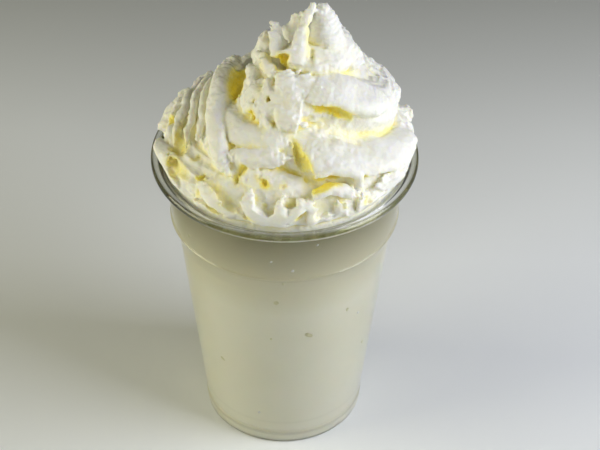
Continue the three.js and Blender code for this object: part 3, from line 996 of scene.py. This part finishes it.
def oval_section(tilt, taper):
    """An oval section, turned so that its right-hand edge lifts, that thins towards both ends."""
    cosine = math.cos(math.radians(tilt))
    sine = math.sin(math.radians(tilt))

    def section(path, station, out, right, along, beyond):
        part = 2 * path.travel[station] / path.travel[-1] - 1
        thin = np.sqrt(np.maximum(1 - np.abs(part) ** taper, THIN_END))
        wide, thick = path.sizes[station].T * thin
        across = right * cosine + out * sine
        above = out * cosine - right * sine
        away = np.maximum(np.hypot(across, above), LEAST)
        ratio = np.maximum(np.hypot(across / wide, above / thick), LEAST)
        outside = away * (1 - 1 / ratio)
        return np.hypot(np.maximum(outside, 0), beyond) + np.minimum(outside, 0)

    return section


def add_core(field):
    """The filled middle of the mound, and the level cream down to the drink."""
    places = field.warped
    height = places[..., 2]
    radius = mound_radius(np.minimum(height, CORE_TOP)) - CORE_DEPTH
    across = np.hypot(places[..., 0] - mound_lean(height), places[..., 1])
    mound = np.maximum((across - radius) * CORE_SLANT, height - CORE_TOP)
    still = field.places
    mouth = np.hypot(still[..., 0], still[..., 1]) - (wall_radius(DRINK_TOP) - CONTACT)
    level = np.maximum(mouth, still[..., 2] - LEVEL_TOP)
    core = smooth_min(mound, level, BLENDS["core"])
    field.value = np.minimum(field.value, core).astype(np.float32)


def add_runs(field):
    """Each rope lies with its outside on the mound's surface."""
    for knots in RUNS.values():
        path = mound_path(knots, lambda line: -line[:, 2])
        block, distance = field.sweep(path, rope_section)
        field.add(block, distance, BLENDS["run"])


def sweep_fold(field, knots, wide, thick, lift, tilt, taper):
    """A block of the field, and its distance from a fold that follows the mound."""
    path = mound_path([(*knot, wide, thick) for knot in knots], lift)
    return field.sweep(path, oval_section(tilt, taper))


def fine_ridges():
    """Each ridge repeats the first one, shifted back and down."""
    folds = []
    for k in range(FINE_RIDGES):
        knots = [(a - da * k, h - dh * k) for (a, h), (da, dh) in zip(FIRST_RIDGE, RIDGE_SHIFTS)]
        folds.append((knots, *FINE_RIDGE))
    return folds


def back_folds():
    """Slanting folds round the back, of uneven heights and sizes."""
    first, last = BACK_SPAN
    upper, lower = BACK_ENDS
    folds = []
    for k in range(BACK_FOLDS):
        angle = first + k * (last - first) / BACK_FOLDS
        rise = 2 * math.sin(2.3 * k)
        size = BACK_SIZE - 0.6 * math.cos(1.7 * k)
        knots = [(angle, upper + rise), (angle + BACK_SLANT, lower + rise / 2)]
        folds.append((knots, size, size, *BACK_FORM))
    return folds


def add_folds(field):
    for fold in [*FOLDS, *fine_ridges(), *back_folds()]:
        block, distance = sweep_fold(field, *fold)
        field.add(block, distance, BLENDS["fold"])


def cut_grooves(field):
    for *groove, glow in GROOVES:
        block, distance = sweep_fold(field, *groove)
        field.cut(block, distance, BLENDS["groove"], glow)


def cut_holes(field):
    for angle, height, radius in HOLES:
        knots = [(angle - HOLE_REACH, height), (angle + HOLE_REACH, height)]
        block, distance = sweep_fold(field, knots, radius, radius * HOLE_DEPTH, *HOLE_FORM)
        field.cut(block, distance, BLENDS["hole"], HOLE_GLOW)


def free_path(knots, facing):
    """A path through the air from knots of (x, y, z, half width, half thickness)."""
    line = eased(knots)
    outs = np.tile(np.array(facing, float) / np.linalg.norm(facing), (len(line), 1))
    return Path(line[:, :3], outs, line[:, 3:])


def add_top(field):
    for knots, facing, taper in TOP_FOLDS:
        block, distance = field.sweep(free_path(knots, facing), oval_section(0, taper))
        field.add(block, distance, BLENDS["top"])


def smoothness(places):
    """1 on the smooth lobes and 0 on torn cream."""
    turn = np.degrees(np.arctan2(places[:, 0] - mound_lean(places[:, 2]), -places[:, 1]))
    most = np.zeros(len(places))
    for angle, height, wide, tall in SMOOTH_SPOTS:
        apart = (turn - angle + 180) % 360 - 180
        square = (apart / wide) ** 2 + ((places[:, 2] - height) / tall) ** 2
        most = np.maximum(most, np.exp(-square ** 2))
    return most


def roughen(field):
    """Puffs with creases between them, and crumbs, in the surface layer."""
    layer = np.abs(field.value) < RELIEF_LAYER
    places = field.places[layer]
    rough = 1 - SMOOTHING * smoothness(places)
    puffs = 0
    for k, (wavelength, crest, crease, share) in enumerate(PUFFS):
        folded = np.abs(lattice_noise(places, wavelength, PUFF_SEED + k))
        puffs = puffs + share * (crest - folded * crease)
    crumbs = lattice_noise(places, CRUMB_LENGTH, CRUMB_SEED)
    relief = rough * puffs + (CRUMB_HEIGHT + TORN_CRUMB_HEIGHT * rough) * crumbs
    field.value[layer] -= relief.astype(np.float32)


def hold_inside(field, spare):
    """Keeps the cream within the cup's mouth, clear of the rim and above the drink.

    With some length to spare, its edge over the rim is uneven by that length.
    """
    places = field.places
    across = np.hypot(places[..., 0], places[..., 1])
    lip_height, lip_radius = WALL_LINE[-1]
    limits = [
        (DRINK_TOP, wall_radius(DRINK_TOP) - CONTACT),
        (lip_height, lip_radius - CONTACT),
        (CUP_HEIGHT + 0.3, lip_radius - WALL - 0.2),
        *OVERHANG,
    ]
    heights, radii = zip(*limits)
    limit = np.interp(places[..., 2], heights, radii)
    if spare:
        above = places[..., 2] > CUP_HEIGHT
        uneven = 0.55 + 0.5 * lattice_noise(places[above], EDGE_LENGTH, EDGE_SEED)
        limit[above] -= spare * uneven
    field.value = np.maximum(field.value, across - limit)
    field.value = np.maximum(field.value, DRINK_TOP - places[..., 2]).astype(np.float32)


def box_mean(values, reach):
    """Mean over a cube of cells, by running sums along each axis."""
    result = values.astype(np.float32)
    width = 2 * reach + 1
    for axis in range(3):
        padding = [(0, 0)] * 3
        padding[axis] = (reach + 1, reach)
        sums = np.cumsum(np.pad(result, padding, mode="edge"), axis=axis)
        count = sums.shape[axis]
        ahead = np.take(sums, range(width, count), axis=axis)
        behind = np.take(sums, range(0, count - width), axis=axis)
        result = (ahead - behind) / width
    return result


def sample(grid, points):
    """Nearest cell's value at points in millimetres."""
    index = np.rint((points - GRID_LOW) / CELL).astype(int)
    index = np.clip(index, 0, np.array(grid.shape) - 1)
    return grid[index[:, 0], index[:, 1], index[:, 2]]


def largest_piece(points, quads):
    """The mesh without small loose bits. The lowest label spreads over each piece until it settles."""
    labels = np.arange(len(points))
    while True:
        lowest = labels[quads].min(axis=1)
        spread = labels.copy()
        for corner in quads.T:
            np.minimum.at(spread, corner, lowest)
        spread = spread[spread]
        if np.array_equal(spread, labels):
            break
        labels = spread
    keep = labels == np.bincount(labels).argmax()
    renumbered = np.cumsum(keep) - 1
    return points[keep], renumbered[quads[keep[quads[:, 0]]]]


def cream_field():
    """The cream's forms, in the order in which they build on one another."""
    field = Field()
    add_core(field)
    add_runs(field)
    add_folds(field)
    add_top(field)
    cut_grooves(field)
    cut_holes(field)
    hold_inside(field, EDGE_WANDER)
    roughen(field)
    hold_inside(field, 0)
    return field


def hollowness(field, points):
    """How much painted yellow shade each point of the surface gets: 0 in the open, and about 1 in a groove
    that glows.
    """
    inside = field.value < 0
    narrow, broad = HOLLOW_REACHES
    filled = 0.5 * box_mean(inside, narrow) + 0.5 * box_mean(inside, broad)
    enclosed = np.clip((sample(filled, points) - HOLLOW_START) / HOLLOW_SPAN, 0, 1)
    glow = sample(box_mean(field.glow, GLOW_BLUR), points)
    return np.maximum(HOLLOW_STRENGTH * enclosed, GLOW_STRENGTH * glow)


def make_cream():
    field = cream_field()
    grid = openvdb.FloatGrid(FAR)
    grid.copyFromArray(field.value)
    points, _, quads = grid.convertToPolygons(isovalue=0.0, adaptivity=0.0)
    points, quads = largest_piece(points, quads)
    points = points * CELL + GRID_LOW
    cream = mesh_object("cream_swirl", points, quads, whipped_cream())
    # Painted shade in the hollows, carried to the material
    attribute = cream.data.attributes.new("hollow_shade", "FLOAT", "POINT")
    attribute.data.foreach_set("value", hollowness(field, points).astype(np.float32))
    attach(cream, BODY)
    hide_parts("whipped_cream")


make_camera()
make_lights()
make_floor()
make_cup()
make_drink()
make_specks()
make_cream()
